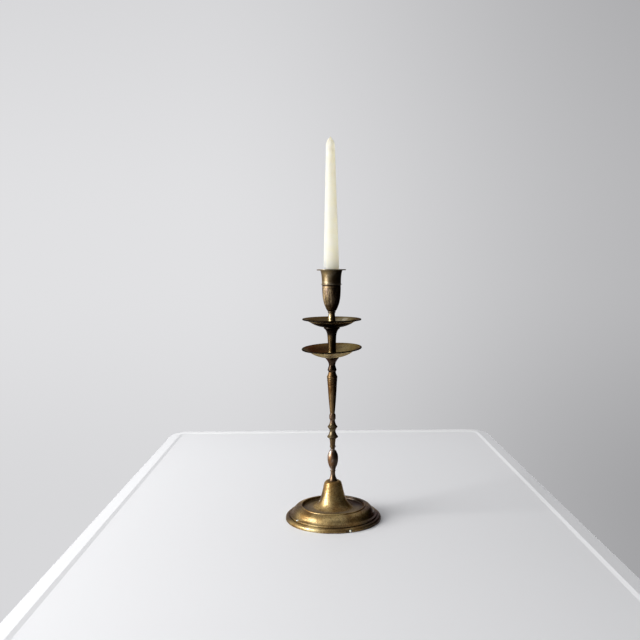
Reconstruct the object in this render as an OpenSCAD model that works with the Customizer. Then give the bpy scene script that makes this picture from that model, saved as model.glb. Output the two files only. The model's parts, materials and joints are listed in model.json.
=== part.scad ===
// Turned brass candlestick: a hollow cast foot, a stem of turned sections stacked on a tie rod,
// two loose drip pans trapped between sections, a candle cup with a lift-out nozzle, and a taper.
// Millimetres, +Z up, origin at the centre of the foot on the table.

/* [Foot] */
// Diameter of the foot on the table
foot_d = 130; // [120:1:160]
// Height of the bell's crown above the table
foot_h = 52; // [46:0.2:60]
// Wall of the foot casting
foot_wall = 2.3; // [1.6:0.1:2.6]
// Width of the flat ring that the foot stands on
foot_land_w = 2.6; // [1.6:0.1:3.4]
// Width of the flange round the foot
flange_w = 5.2; // [4.4:0.1:6.4]
// Height of the upright edge of the flange
flange_edge_h = 2.2; // [1.4:0.1:3]
// Height of the flange's rounded top
flange_h = 5.4; // [4.8:0.1:6.2]
// Width of the groove between the flange and the moulding
groove_w = 1.1; // [0.6:0.1:1.4]
// Depth of the groove
groove_depth = 0.8; // [0.4:0.1:1]
// Width of the moulding, from the groove to the ridge
moulding_w = 16.6; // [13:0.2:18]
// Height of the fillet that stands over the groove
fillet_h = 3.2; // [2.4:0.1:3.8]
// Width of the fillet
fillet_w = 1.6; // [1:0.1:2.4]
// Height of the ridge above the table
ridge_h = 18.8; // [17.8:0.1:20]
// Width of the ridge round the tray
ridge_w = 2.4; // [2:0.1:3.2]
// Height of the tray's floor above the table
tray_h = 14.6; // [13:0.1:15.6]
// Width of the tray between the ridge and the end of the bell's flare
tray_w = 8.8; // [6:0.1:12]
// Diameter of the shallow dish in the bell's crown
crown_dish_d = 14.6; // [13.6:0.1:16]
// Depth of the dish in the crown
crown_dish_depth = 0.5; // [0.2:0.1:0.9]

/* [Tie rod] */
// Diameter of the tie rod
rod_d = 3.2; // [2.6:0.1:3.6]
// How far the rod stands out below the nut
rod_tail = 2.6; // [1:0.1:5]
// Length of the rod that is screwed into the cup
rod_grip = 11; // [7:0.5:16]
// Distance across the nut's flats
nut_af = 7; // [6.4:0.1:9]
// Height of the nut
nut_h = 3; // [2:0.1:4.5]
// Diameter of the washer
washer_d = 14; // [11:0.2:15]
// Thickness of the washer
washer_t = 1; // [0.6:0.1:1.6]

/* [Stem] */
// Height of the collar that stands on the bell
collar_h = 15; // [12:0.1:18]
// Diameter of the collar's base
collar_base_d = 12.4; // [11:0.1:12.8]
// Diameter of the collar's waist
collar_waist_d = 6.2; // [5.8:0.1:6.8]
// Diameter of the bead on top of the collar
collar_bead_d = 7.3; // [7:0.1:8]
// Height of the vase
vase_h = 29.1; // [24:0.1:36]
// Diameter of the vase's belly
vase_d = 14.8; // [12:0.1:18]
// Diameter of the vase's foot
vase_foot_d = 6.5; // [6:0.1:7.4]
// Diameter of the neck between the vase and the short column
vase_neck_d = 5.8; // [5.4:0.1:6.4]
// Height of the short column
short_h = 14; // [11:0.1:19]
// Diameter of the bead under the short column
short_bead_d = 7.9; // [7.4:0.1:8.8]
// Diameter of the short column's waist
short_waist_d = 7; // [6.6:0.1:7.6]
// Diameter of the short column's top
short_top_d = 8.5; // [7.8:0.1:9.4]
// Height of the double-ring knop
knop_h = 34.8; // [29:0.1:42]
// Diameter of the knop's lower ring
knop_lower_d = 14.7; // [12.4:0.1:17]
// Diameter of the waist between the knop's rings
knop_waist_d = 7.9; // [7:0.1:9]
// Diameter of the knop's upper ring
knop_upper_d = 13.5; // [11.4:0.1:16]
// Diameter of the neck over the knop's upper ring
knop_neck_d = 6.7; // [6.2:0.1:7.6]
// Diameter of the drum on top of the knop
knop_drum_d = 8.7; // [8:0.1:9.6]
// Height of the tapered column
column_h = 56.6; // [46:0.1:70]
// Diameter of the tapered column's foot
column_foot_d = 6.4; // [6:0.1:7.2]
// Diameter of the tapered column's shoulder
column_d = 14.4; // [12.4:0.1:17]
// Diameter of the neck where the column meets the stem head
column_neck_d = 10; // [9:0.1:11]
// Height of the stem head
head_h = 20.2; // [17:0.1:26]
// Diameter of the ring round the stem head
head_ring_d = 12.4; // [11.4:0.1:14]
// Diameter of the stem head's waist
head_waist_d = 8.8; // [7.8:0.1:9.8]
// Diameter of the stem head's seat for the lower pan
head_seat_d = 18.4; // [15:0.1:20.4]

/* [Spool] */
// Height of the spool between the two pans
spool_h = 38.1; // [32:0.1:48]
// Diameter of the spool's base
spool_base_d = 12.6; // [12.2:0.1:14]
// Diameter of the spool's column
spool_d = 10.9; // [10:0.1:12]
// Diameter of the spool's collar, which the upper pan sits on
spool_seat_d = 21.8; // [18:0.1:22.6]
// Thickness of the spool's collar
spool_seat_t = 1.4; // [1:0.1:2]

/* [Drip pans] */
// Diameter of the upper pan
upper_pan_d = 80; // [72:0.5:92]
// Diameter of the lower pan
lower_pan_d = 81.5; // [72:0.5:92]
// Height of the upper pan from the underside of its hub to its rim
upper_pan_h = 11.4; // [9.4:0.1:14]
// Height of the lower pan from the underside of its hub to its rim
lower_pan_h = 12.6; // [9.4:0.1:14]
// Sheet thickness of a pan
pan_wall = 1.3; // [0.9:0.1:1.5]
// Diameter of the flat hub of a pan
pan_hub_d = 24; // [23:0.5:28]
// Width of the flared lip of a pan
pan_lip_w = 7; // [5:0.1:9]
// Height that the lip rises
pan_lip_h = 1.2; // [0.8:0.1:2.4]
// Thickness of the thickened rim of a pan
pan_rim_t = 1.7; // [1.6:0.1:2.4]
// Diameter of the bosses that the pans turn on
boss_d = 7; // [6:0.1:8.4]
// How far the upper pan leans, in degrees
upper_pan_lean = 1.2; // [0:0.1:2]
// How far the lower pan leans, in degrees
lower_pan_lean = 4.1; // [0:0.1:4.5]
// Direction of the upper pan's low side, in degrees from +X
upper_pan_low_side = 284; // [0:1:360]
// Direction of the lower pan's low side, in degrees from +X
lower_pan_low_side = 243; // [0:1:360]

/* [Candle cup] */
// Height of the neck between the upper pan and the cup
neck_h = 20.3; // [16:0.1:26]
// Diameter of the neck's base
neck_base_d = 14.6; // [13:0.1:16]
// Diameter of the neck's waist
neck_waist_d = 8.8; // [8:0.1:10]
// Diameter of the bead on top of the neck
neck_bead_d = 10.8; // [10.4:0.1:11.4]
// Height of the cup
cup_h = 34.8; // [30:0.1:42]
// Diameter of the cup's base
cup_base_d = 11.2; // [10.6:0.1:12.6]
// Outside diameter of the cup's mouth
cup_d = 25.2; // [24.8:0.1:28]
// Inside diameter of the candle socket
socket_d = 21.6; // [21.2:0.1:21.8]
// Depth of the candle socket below the cup's mouth
socket_depth = 5.9; // [5.2:0.1:9]
// Height of the nozzle above the cup
nozzle_h = 21.2; // [18:0.1:28]
// Diameter of the lip at the nozzle's foot
nozzle_lip_d = 27.4; // [26:0.1:29]
// Height of the lip at the nozzle's foot
nozzle_lip_h = 1.9; // [1.2:0.1:2.6]
// Diameter of the nozzle's waist
nozzle_waist_d = 25.7; // [25:0.1:28]
// Diameter of the nozzle's throat, where the rim turns out
nozzle_throat_d = 30; // [28.6:0.2:33]
// Diameter of the nozzle's rim
nozzle_rim_d = 39.4; // [36:0.2:46]
// Thickness of the nozzle's rim
nozzle_rim_t = 1.5; // [1:0.1:2]
// Length of the spigot that sits in the cup
spigot_h = 4.5; // [3:0.1:5]
// Wall of the spigot
spigot_wall = 0.85; // [0.7:0.05:0.95]

/* [Candle] */
// Length of the candle without its wick
candle_len = 202; // [120:0.5:260]
// Diameter of the candle's butt
candle_d = 21.1; // [18:0.1:21.1]
// Height of the candle's straight butt
candle_butt_h = 22; // [10:0.5:40]
// Diameter of the candle at its shoulder, below the tip
candle_top_d = 12; // [10:0.1:14]
// Height of the rounded tip
candle_tip_h = 14.4; // [8:0.2:20]
// Diameter of the wick
wick_d = 1.6; // [1.2:0.1:2.4]
// Length of wick that stands out of the tip
wick_show = 0.6; // [0:0.1:12]

/* [Hidden] */
$fn = 96;

// Gaps between the pieces
rod_gap = 0.1;     // round the tie rod in the stem's sections
thread_gap = 0.03; // round the tie rod in its two threads
boss_gap = 0.12;   // round a boss in a pan's hole
pan_gap = 0.08;    // over and under a pan's hub where it is tightest
spigot_gap = 0.06; // round and under the nozzle's spigot
seat_gap = 0.05;   // under what only stands in its seat
wick_gap = 0.03;   // round the wick in the wax
overrun = 1;       // of a hole's cutter past both faces

// Colours
foot_brass = "#8a7038";
aged_brass = "#7b6331";
dark_brass = "#5a4526";
red_brass = "#73512f";
old_steel = "#6d6a63";
ivory_wax = "#f4f0d8";
cotton = "#efe9d2";

// Stations on the outlines: across and up, as shares of the sizes that each outline runs between
moulding_shares = [
    [1, 0], [0.913, 0.04], [0.833, 0.143], [0.76, 0.296], [0.688, 0.47], [0.609, 0.643], [0.493, 0.806],
    [0.348, 0.918], [0.174, 0.98], [0, 1]
];
bell_shares = [
    [1, 0], [0.834, 0.023], [0.678, 0.088], [0.546, 0.175], [0.446, 0.284], [0.374, 0.402], [0.324, 0.521],
    [0.286, 0.619], [0.252, 0.711], [0.224, 0.804], [0.2, 0.866], [0.17, 0.923], [0.128, 0.964],
    [0.068, 0.992], [0, 1]
];
collar_flare_shares = [
    [1, 0], [0.97, 0.05], [0.84, 0.11], [0.66, 0.24], [0.5, 0.39], [0.3, 0.58], [0.1, 0.8], [0, 1]
];
vase_low_shares = [[0, 0], [0.05, 0.06], [0.23, 0.21], [0.52, 0.39], [0.75, 0.576], [0.91, 0.78], [1, 1]];
vase_high_shares = [
    [1, 0], [0.967, 0.24], [0.856, 0.473], [0.62, 0.705], [0.34, 0.89], [0.12, 0.97], [0, 1]
];
short_shares = [[0, 0], [0.04, 0.15], [0.22, 0.45], [0.55, 0.75], [1, 1]];
lower_ring_shares = [
    [0.2, 0], [0.62, 0.115], [0.9, 0.2], [1, 0.275], [0.97, 0.34], [0.72, 0.43], [0.46, 0.56],
    [0.27, 0.72], [0.08, 0.88], [0, 1]
];
upper_ring_shares = [[0, 0], [0.06, 0.26], [0.32, 0.52], [0.72, 0.76], [0.97, 0.9], [1, 1]];
ring_neck_shares = [[1, 0], [0.9, 0.06], [0.6, 0.19], [0.4, 0.33], [0.22, 0.52], [0.08, 0.76], [0, 1]];
drum_shares = [[0, 0], [0.35, 0.1], [0.8, 0.2], [1, 0.32], [1, 0.72], [0.82, 0.82], [0.3, 0.92], [0, 1]];
column_shares = [
    [0, 0], [0.2, 0.16], [0.37, 0.31], [0.52, 0.46], [0.65, 0.62], [0.8, 0.8], [0.93, 0.94], [1, 1]
];
column_shoulder_shares = [[1, 0], [0.9, 0.08], [0.62, 0.25], [0.4, 0.46], [0.14, 0.74], [0, 1]];
head_ring_low_shares = [[0, 0], [0.06, 0.2], [0.42, 0.5], [0.8, 0.72], [1, 1]];
head_ring_high_shares = [[1, 0], [0.92, 0.08], [0.7, 0.2], [0.52, 0.44], [0.2, 0.74], [0, 1]];
head_seat_shares = [
    [0, 0], [0.03, 0.15], [0.09, 0.27], [0.17, 0.4], [0.28, 0.52], [0.43, 0.65], [0.65, 0.8], [0.9, 0.94],
    [1, 1]
];
spool_low_shares = [[1, 0], [0.9, 0.08], [0.48, 0.28], [0.16, 0.58], [0, 1]];
spool_high_shares = [
    [0, 0], [0.02, 0.2], [0.04, 0.4], [0.08, 0.56], [0.12, 0.66], [0.19, 0.75], [0.28, 0.81], [0.39, 0.865],
    [0.52, 0.915], [0.76, 0.965], [1, 1]
];
pan_bowl_shares = [[0, 0], [0.214, 0.11], [0.433, 0.28], [0.6, 0.455], [0.72, 0.615], [0.84, 0.8], [1, 1]];
neck_shares = [[1, 0], [0.94, 0.06], [0.7, 0.16], [0.44, 0.32], [0.24, 0.54], [0.08, 0.78], [0, 1]];
cup_shares = [
    [0, 0], [0.2, 0.06], [0.37, 0.138], [0.53, 0.215], [0.66, 0.29], [0.76, 0.376], [0.84, 0.46],
    [0.9, 0.54], [0.94, 0.64], [0.985, 0.8], [1, 1]
];
nozzle_shares = [[0, 0], [0.02, 0.2], [0.13, 0.46], [0.3, 0.66], [0.56, 0.84], [1, 1]];
tip_shares = [[1, 0], [0.985, 0.2], [0.95, 0.36], [0.87, 0.52], [0.72, 0.68], [0.5, 0.82], [0.3, 0.92]];

// Heights of the parts of a section, as shares of the section's height
collar_waist_share = 0.6;
collar_bead_share = 0.847;
vase_belly_share = 0.52;
vase_neck_share = 0.962;
short_groove_share = 0.1;
short_bead_share = 0.32;
knop_waist_share = 0.29;
knop_upper_share = 0.485;
knop_neck_share = 0.73;
column_shoulder_share = 0.892;
head_ring_share = 0.165;
head_waist_share = 0.465;
head_seat_share = 0.94;
spool_waist_share = 0.2;
neck_waist_share = 0.78;
neck_bead_share = 0.87;

// Steps along one bend and between two stations, and how far a bend's handles reach
bend_steps = 8;
curve_steps = 3;
reach_share = 0.55;
same_point = 0.001;

// A bend from p to q without p itself, which leaves p upwards and reaches q sideways
function bezier(a, b, c, d, t) =
    pow(1 - t, 3) * a + 3 * pow(1 - t, 2) * t * b + 3 * (1 - t) * pow(t, 2) * c + pow(t, 3) * d;
function bend(p, q) =
    let (b = [p[0], p[1] + reach_share * (q[1] - p[1])], c = [q[0] + reach_share * (p[0] - q[0]), q[1]])
    [for (k = [1:bend_steps]) bezier(p, b, c, q, k / bend_steps)];

// A round bead from p to q, which stands out by its bulge in the middle
function bead(p, q, bulge) =
    [for (k = [0:bend_steps])
        let (a = 180 * k / bend_steps)
        p + (1 - cos(a)) / 2 * (q - p) + sin(a) * bulge];

// A smooth line through stations that lie, by their shares, between a low and a high corner
function spline(a, b, c, d, t) =
    b + t / 2 * (c - a)
    + pow(t, 2) / 2 * (2 * a - 5 * b + 4 * c - d)
    + pow(t, 3) / 2 * (3 * b - a - 3 * c + d);
function smooth(p) =
    let (last = len(p) - 1)
    concat([p[0]], [for (i = [0:last - 1]) for (k = [1:curve_steps])
        spline(p[max(i - 1, 0)], p[i], p[i + 1], p[min(i + 2, last)], k / curve_steps)]);
function through(shares, low, high) =
    smooth([for (s = shares) [low[0] + s[0] * (high[0] - low[0]), low[1] + s[1] * (high[1] - low[1])]]);

// A line read backwards, moved to its left by a wall, and without its doubled points
function backwards(p) = [for (i = [len(p) - 1:-1:0]) p[i]];
function moved(p, wall) =
    [for (i = [0:len(p) - 1])
        let (d = p[min(i + 1, len(p) - 1)] - p[max(i - 1, 0)])
        p[i] + wall / norm(d) * [-d[1], d[0]]];
function single(p) = [for (i = [0:len(p) - 1]) if (i == 0 || norm(p[i] - p[i - 1]) > same_point) p[i]];

// Radii that fit the rod, the bosses, the spigot and the wick
rod_r = rod_d / 2;
rod_hole_r = rod_r + rod_gap;
thread_r = rod_r + thread_gap;
boss_r = boss_d / 2;
socket_r = socket_d / 2;
spigot_r = socket_r + spigot_wall;
spigot_hole_r = spigot_r + spigot_gap;
wick_hole_r = wick_d / 2 + wick_gap;

// A pan leans by rocking in the gap over its seat, so that gap is as tall as the lean needs
function half_hub(lean) = pan_wall / 2 / cos(lean);
function pan_middle(lean, seat_d) = pan_gap + half_hub(lean) + tan(lean) * seat_d / 2;
function pan_room(lean, seat_d, over_d) =
    pan_middle(lean, seat_d) + half_hub(lean) + tan(lean) * over_d / 2 + pan_gap;
lower_room = pan_room(lower_pan_lean, head_seat_d, spool_base_d);
upper_room = pan_room(upper_pan_lean, spool_seat_d, neck_base_d);

// Heights at which the pieces of the stack begin
collar_z = foot_h - crown_dish_depth;
vase_z = collar_z + collar_h;
short_z = vase_z + vase_h;
knop_z = short_z + short_h;
column_z = knop_z + knop_h;
head_z = column_z + column_h;
lower_seat_z = head_z + head_h;
spool_z = lower_seat_z + lower_room;
upper_seat_z = spool_z + spool_h;
neck_z = upper_seat_z + upper_room;
cup_z = neck_z + neck_h;
nozzle_z = cup_z + cup_h + seat_gap;
candle_z = cup_z + cup_h - socket_depth + seat_gap;
washer_z = collar_z - foot_wall - washer_t;
nut_z = washer_z - nut_h;

// An outline turned round the stem's axis, with its foot at a height
module turned(outline, z = 0) {
    translate([0, 0, z])
        rotate_extrude()
            polygon(single(outline));
}

// A section of the stack, bored for the rod
module section(outline, z) {
    bottom = [rod_hole_r, outline[0][1]];
    top = [rod_hole_r, outline[len(outline) - 1][1]];
    turned(concat([bottom], outline, [top]), z);
}

// Foot: flange, groove, fillet, moulding, ridge, tray and bell over an open underside
module foot() {
    foot_r = foot_d / 2;
    land_r = foot_r - foot_land_w;
    groove_r = foot_r - flange_w;
    groove_z = flange_h - groove_depth;
    fillet_top = [groove_r - fillet_w, groove_z + fillet_h];
    ridge_r = groove_r - moulding_w;
    ridge_z = ridge_h - ridge_w / 2;
    ridge_out = [ridge_r + ridge_w / 2, ridge_z];
    ridge_in = [ridge_r - ridge_w / 2, ridge_z];
    tray_edge = [ridge_r - ridge_w, tray_h];
    crown_in_z = collar_z - foot_wall;
    moulding = through(moulding_shares, [ridge_out[0], fillet_top[1]], [fillet_top[0], ridge_z]);
    bell = through(bell_shares, [crown_dish_d / 2, tray_h], [tray_edge[0] - tray_w, foot_h]);
    flange = concat(
        [[foot_r, 0], [foot_r, flange_edge_h]],
        bend([foot_r, flange_edge_h], [groove_r + groove_w, flange_h]),
        [[groove_r + groove_w / 2, groove_z], [groove_r, groove_z], [groove_r, fillet_top[1]]]
    );
    ridge = concat(bead(ridge_out, ridge_in, [0, ridge_w / 2]), bend(ridge_in, tray_edge));
    crown = [
        [crown_dish_d / 2 - crown_dish_depth, collar_z], [rod_hole_r, collar_z], [rod_hole_r, crown_in_z]
    ];
    bell_inside = [for (p = backwards(moved(bell, foot_wall))) if (p[1] < crown_in_z) p];
    moulding_inside = [for (p = backwards(moved(moulding, foot_wall))) if (p[0] < groove_r - foot_wall) p];
    rim_inside = [
        [groove_r - foot_wall, groove_z - foot_wall], [land_r, groove_z - foot_wall], [land_r, 0]
    ];
    color(foot_brass)
        turned(concat(
            flange, moulding, ridge, bell, crown, [[bell_inside[0][0], crown_in_z]],
            bell_inside, [tray_edge - [0, foot_wall]], moulding_inside, rim_inside
        ));
}

module clamp_washer() {
    color(old_steel)
        translate([0, 0, washer_z])
            difference() {
                cylinder(d = washer_d, h = washer_t);
                translate([0, 0, -overrun]) cylinder(r = rod_hole_r, h = washer_t + 2 * overrun);
            }
}

module clamp_nut() {
    color(old_steel)
        translate([0, 0, nut_z])
            difference() {
                cylinder(d = nut_af / cos(30), h = nut_h, $fn = 6);
                translate([0, 0, -overrun]) cylinder(r = thread_r, h = nut_h + 2 * overrun);
            }
}

module tie_rod() {
    bottom = nut_z - rod_tail;
    top = cup_z + rod_grip;
    chamfer = rod_d / 8;
    color(old_steel)
        turned([
            [0, bottom], [rod_r - chamfer, bottom], [rod_r, bottom + chamfer],
            [rod_r, top - chamfer], [rod_r - chamfer, top], [0, top]
        ]);
}

module stem_collar() {
    waist_r = collar_waist_d / 2;
    bead_z = collar_bead_share * collar_h;
    color(dark_brass)
        section(concat(
            through(collar_flare_shares, [waist_r, 0], [collar_base_d / 2, collar_waist_share * collar_h]),
            bead([waist_r, bead_z], [waist_r, collar_h], [collar_bead_d / 2 - waist_r, 0])
        ), collar_z);
}

module vase_knop() {
    neck_r = vase_neck_d / 2;
    belly = [vase_d / 2, vase_belly_share * vase_h];
    color(red_brass)
        section(concat(
            through(vase_low_shares, [vase_foot_d / 2, 0], belly),
            through(vase_high_shares, [neck_r, belly[1]], [belly[0], vase_neck_share * vase_h]),
            [[neck_r, vase_h]]
        ), vase_z);
}

module short_column() {
    neck_r = vase_neck_d / 2;
    waist_r = short_waist_d / 2;
    groove_z = short_groove_share * short_h;
    bead_z = short_bead_share * short_h;
    bulge = short_bead_d / 2 - (neck_r + waist_r) / 2;
    color(aged_brass)
        section(concat(
            [[neck_r, 0]],
            bead([neck_r, groove_z], [waist_r, bead_z], [bulge, 0]),
            through(short_shares, [waist_r, bead_z], [short_top_d / 2, short_h])
        ), short_z);
}

module ring_knop() {
    waist = [knop_waist_d / 2, knop_waist_share * knop_h];
    upper = [knop_upper_d / 2, knop_upper_share * knop_h];
    neck = [knop_neck_d / 2, knop_neck_share * knop_h];
    color(aged_brass)
        section(concat(
            through(lower_ring_shares, [waist[0], 0], [knop_lower_d / 2, waist[1]]),
            through(upper_ring_shares, waist, upper),
            through(ring_neck_shares, [neck[0], upper[1]], [upper[0], neck[1]]),
            through(drum_shares, neck, [knop_drum_d / 2, knop_h])
        ), knop_z);
}

module tapered_column() {
    shoulder = [column_d / 2, column_shoulder_share * column_h];
    color(red_brass)
        section(concat(
            through(column_shares, [column_foot_d / 2, 0], shoulder),
            through(column_shoulder_shares, [column_neck_d / 2, shoulder[1]], [shoulder[0], column_h])
        ), column_z);
}

module stem_head() {
    neck_r = column_neck_d / 2;
    ring = [head_ring_d / 2, head_ring_share * head_h];
    waist = [head_waist_d / 2, head_waist_share * head_h];
    seat = [head_seat_d / 2, head_seat_share * head_h];
    color(aged_brass)
        section(concat(
            through(head_ring_low_shares, [neck_r, 0], ring),
            through(head_ring_high_shares, [waist[0], ring[1]], [ring[0], waist[1]]),
            through(head_seat_shares, waist, seat),
            [[seat[0], head_h], [boss_r, head_h], [boss_r, head_h + lower_room]]
        ), head_z);
}

module pan_spool() {
    waist = [spool_d / 2, spool_waist_share * spool_h];
    seat = [spool_seat_d / 2, spool_h - spool_seat_t];
    color(aged_brass)
        section(concat(
            through(spool_low_shares, [waist[0], 0], [spool_base_d / 2, waist[1]]),
            through(spool_high_shares, waist, seat),
            [[seat[0], spool_h], [boss_r, spool_h], [boss_r, spool_h + upper_room]]
        ), spool_z);
}

// A dished pan that hangs loose between two sections and leans towards its low side
module pan(pan_d, pan_h, lean, low_side, seat_z, seat_d) {
    hole_r = boss_r + boss_gap;
    hub = [pan_hub_d / 2, 0];
    rim = [(pan_d - pan_rim_t) / 2, pan_h - pan_rim_t];
    lip = [pan_d / 2 - pan_lip_w, rim[1] - pan_lip_h];
    under = concat([[hole_r, 0]], through(pan_bowl_shares, hub, lip), [(lip + rim) / 2]);
    edge = bead(rim, rim + [0, pan_rim_t], [pan_rim_t / 2, 0]);
    color(dark_brass)
        translate([0, 0, seat_z + pan_middle(lean, seat_d)])
            rotate([0, lean, low_side])
                turned(concat(under, edge, backwards(moved(under, pan_wall))), -pan_wall / 2);
}

module lower_drip_pan() {
    pan(lower_pan_d, lower_pan_h, lower_pan_lean, lower_pan_low_side, lower_seat_z, head_seat_d);
}

module upper_drip_pan() {
    pan(upper_pan_d, upper_pan_h, upper_pan_lean, upper_pan_low_side, upper_seat_z, spool_seat_d);
}

module cup_neck() {
    waist_r = neck_waist_d / 2;
    bead_z = neck_bead_share * neck_h;
    color(aged_brass)
        section(concat(
            through(neck_shares, [waist_r, 0], [neck_base_d / 2, neck_waist_share * neck_h]),
            bead([waist_r, bead_z], [waist_r, neck_h], [neck_bead_d / 2 - waist_r, 0])
        ), neck_z);
}

// Cup: solid below, where the rod is screwed in, and bored above for the nozzle and the candle
module candle_cup() {
    spigot_floor = cup_h - spigot_h - spigot_gap;
    socket_floor = cup_h - socket_depth;
    rod_end = rod_grip + rod_gap;
    color(dark_brass)
        turned(concat(
            [[thread_r, 0]],
            through(cup_shares, [cup_base_d / 2, 0], [cup_d / 2, cup_h]),
            [[spigot_hole_r, cup_h], [spigot_hole_r, spigot_floor], [socket_r, spigot_floor]],
            [[socket_r, socket_floor], [0, socket_floor], [0, rod_end], [thread_r, rod_end]]
        ), cup_z);
}

// Nozzle: a flanged sleeve round the candle, on a spigot that sits in the cup
module nozzle() {
    waist = [nozzle_waist_d / 2, nozzle_lip_h];
    throat = [nozzle_throat_d / 2, nozzle_h - nozzle_rim_t];
    rim = [(nozzle_rim_d - nozzle_rim_t) / 2, throat[1]];
    color(aged_brass)
        turned(concat(
            [[socket_r, -spigot_h], [spigot_r, -spigot_h], [spigot_r, 0]],
            bead([waist[0], 0], waist, [nozzle_lip_d / 2 - waist[0], 0]),
            through(nozzle_shares, waist, throat),
            bead(rim, rim + [0, nozzle_rim_t], [nozzle_rim_t / 2, 0]),
            [[socket_r, nozzle_h]]
        ), nozzle_z);
}

module candle_wax() {
    butt_r = candle_d / 2;
    shoulder = [candle_top_d / 2, candle_len - candle_tip_h];
    chamfer = butt_r / 16;
    color(ivory_wax)
        turned(concat(
            [[wick_hole_r, 0], [butt_r - chamfer, 0], [butt_r, chamfer], [butt_r, candle_butt_h]],
            through(tip_shares, [0, shoulder[1]], [shoulder[0], candle_len]),
            [[wick_hole_r, candle_len]]
        ), candle_z);
}

module candle_wick() {
    color(cotton)
        translate([0, 0, candle_z])
            cylinder(d = wick_d, h = candle_len + wick_show);
}

foot();
clamp_nut();
clamp_washer();
tie_rod();
stem_collar();
vase_knop();
short_column();
ring_knop();
tapered_column();
stem_head();
lower_drip_pan();
pan_spool();
upper_drip_pan();
cup_neck();
candle_cup();
nozzle();
candle_wax();
candle_wick();
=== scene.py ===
import json
import math
import bpy
from mathutils import Matrix, Vector


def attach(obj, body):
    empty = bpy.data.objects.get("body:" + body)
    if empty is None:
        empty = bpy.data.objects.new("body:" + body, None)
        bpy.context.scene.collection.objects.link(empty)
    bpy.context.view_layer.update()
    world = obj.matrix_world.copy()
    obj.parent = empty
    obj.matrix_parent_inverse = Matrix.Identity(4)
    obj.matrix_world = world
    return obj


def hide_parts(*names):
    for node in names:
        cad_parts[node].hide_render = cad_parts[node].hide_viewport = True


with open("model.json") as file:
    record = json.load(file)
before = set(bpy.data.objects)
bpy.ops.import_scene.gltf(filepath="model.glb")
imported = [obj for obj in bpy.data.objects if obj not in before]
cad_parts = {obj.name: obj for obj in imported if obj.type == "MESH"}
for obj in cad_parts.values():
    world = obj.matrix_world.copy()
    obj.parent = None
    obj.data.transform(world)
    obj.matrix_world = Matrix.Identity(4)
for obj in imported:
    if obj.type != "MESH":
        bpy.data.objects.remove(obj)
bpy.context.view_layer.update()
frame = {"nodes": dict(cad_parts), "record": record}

bpy.ops.object.select_all(action="DESELECT")
mm = 0.001
bodyOf = {node: body for body, nodes in frame["record"]["behaviour"]["bodies"].items() for node in nodes}
print("frame loaded:", len(frame["nodes"]), "nodes")


# Camera: the photograph's own viewing angle
photoCamera = {
    "focalLength": 42.19,     # mm
    "sensorWidth": 36,        # mm
    "distance": 1010.8,       # mm in front of the stem
    "height": 336.5,          # mm above the table
    "sideways": -15.85,       # mm
    "downwards": 3.66,        # degrees
    "roll": 0.5,              # degrees
    "seesAsFarAs": 20,        # metres
}

cameraData = bpy.data.cameras.new("photoCamera")
cameraData.lens = photoCamera["focalLength"]
cameraData.sensor_width = photoCamera["sensorWidth"]
cameraData.clip_end = photoCamera["seesAsFarAs"]
camera = bpy.data.objects.new("photoCamera", cameraData)
bpy.context.scene.collection.objects.link(camera)
cameraPlace = Vector((photoCamera["sideways"], -photoCamera["distance"], photoCamera["height"])) * mm
camera.matrix_world = (
    Matrix.Translation(cameraPlace)
    @ Matrix.Rotation(math.radians(90 - photoCamera["downwards"]), 4, "X")
    @ Matrix.Rotation(math.radians(-photoCamera["roll"]), 4, "Z")
)
bpy.context.scene.camera = camera


# Colours and nodes
def linear(hexColour):
    shares = [int(hexColour[i:i + 2], 16) / 255 for i in (1, 3, 5)]
    return [s / 12.92 if s <= 0.04045 else ((s + 0.055) / 1.055) ** 2.4 for s in shares] + [1]


# Settings are a node's own properties or the values of its inputs, links are what its inputs are joined to
def addNode(tree, kind, settings=None, links=None):
    node = tree.nodes.new(kind)
    for name, value in (settings or {}).items():
        if isinstance(name, str) and hasattr(node, name):
            setattr(node, name, value)
        else:
            node.inputs[name].default_value = value
    for name, socket in (links or {}).items():
        tree.links.new(socket, node.inputs[name])
    return node


def newMaterial(name):
    material = bpy.data.materials.new(name)
    material.use_nodes = True
    material.node_tree.nodes.clear()
    return material, material.node_tree


# A fade is a Map Range node that goes smoothly from two values to two others, or to 0 and 1
smooth = {"interpolation_type": "SMOOTHSTEP"}
fadeInputs = ("From Min", "From Max", "To Min", "To Max")
bandsPerUnit = 3.2     # a wave texture draws this many bands in each unit at a scale of 1


# How much a point lies in a ring round the stem's axis, between two radii and two heights in mm
def inRing(tree, radius, height, ring):
    edges = [
        (value, edge - ring["soft"], edge + ring["soft"], toLow, toHigh)
        for value, (low, high) in ((radius, ring["radius"]), (height, ring["height"]))
        for edge, toLow, toHigh in ((low, 0, 1), (high, 1, 0))
    ]
    share = None
    for value, *limits in edges:
        part = addNode(tree, "ShaderNodeMapRange", {
            **smooth, **dict(zip(fadeInputs, limits)),
        }, {"Value": value}).outputs["Result"]
        if share is None:
            share = part
        else:
            share = addNode(tree, "ShaderNodeMath", {"operation": "MULTIPLY"}, {0: share, 1: part}).outputs[0]
    return share


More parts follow.
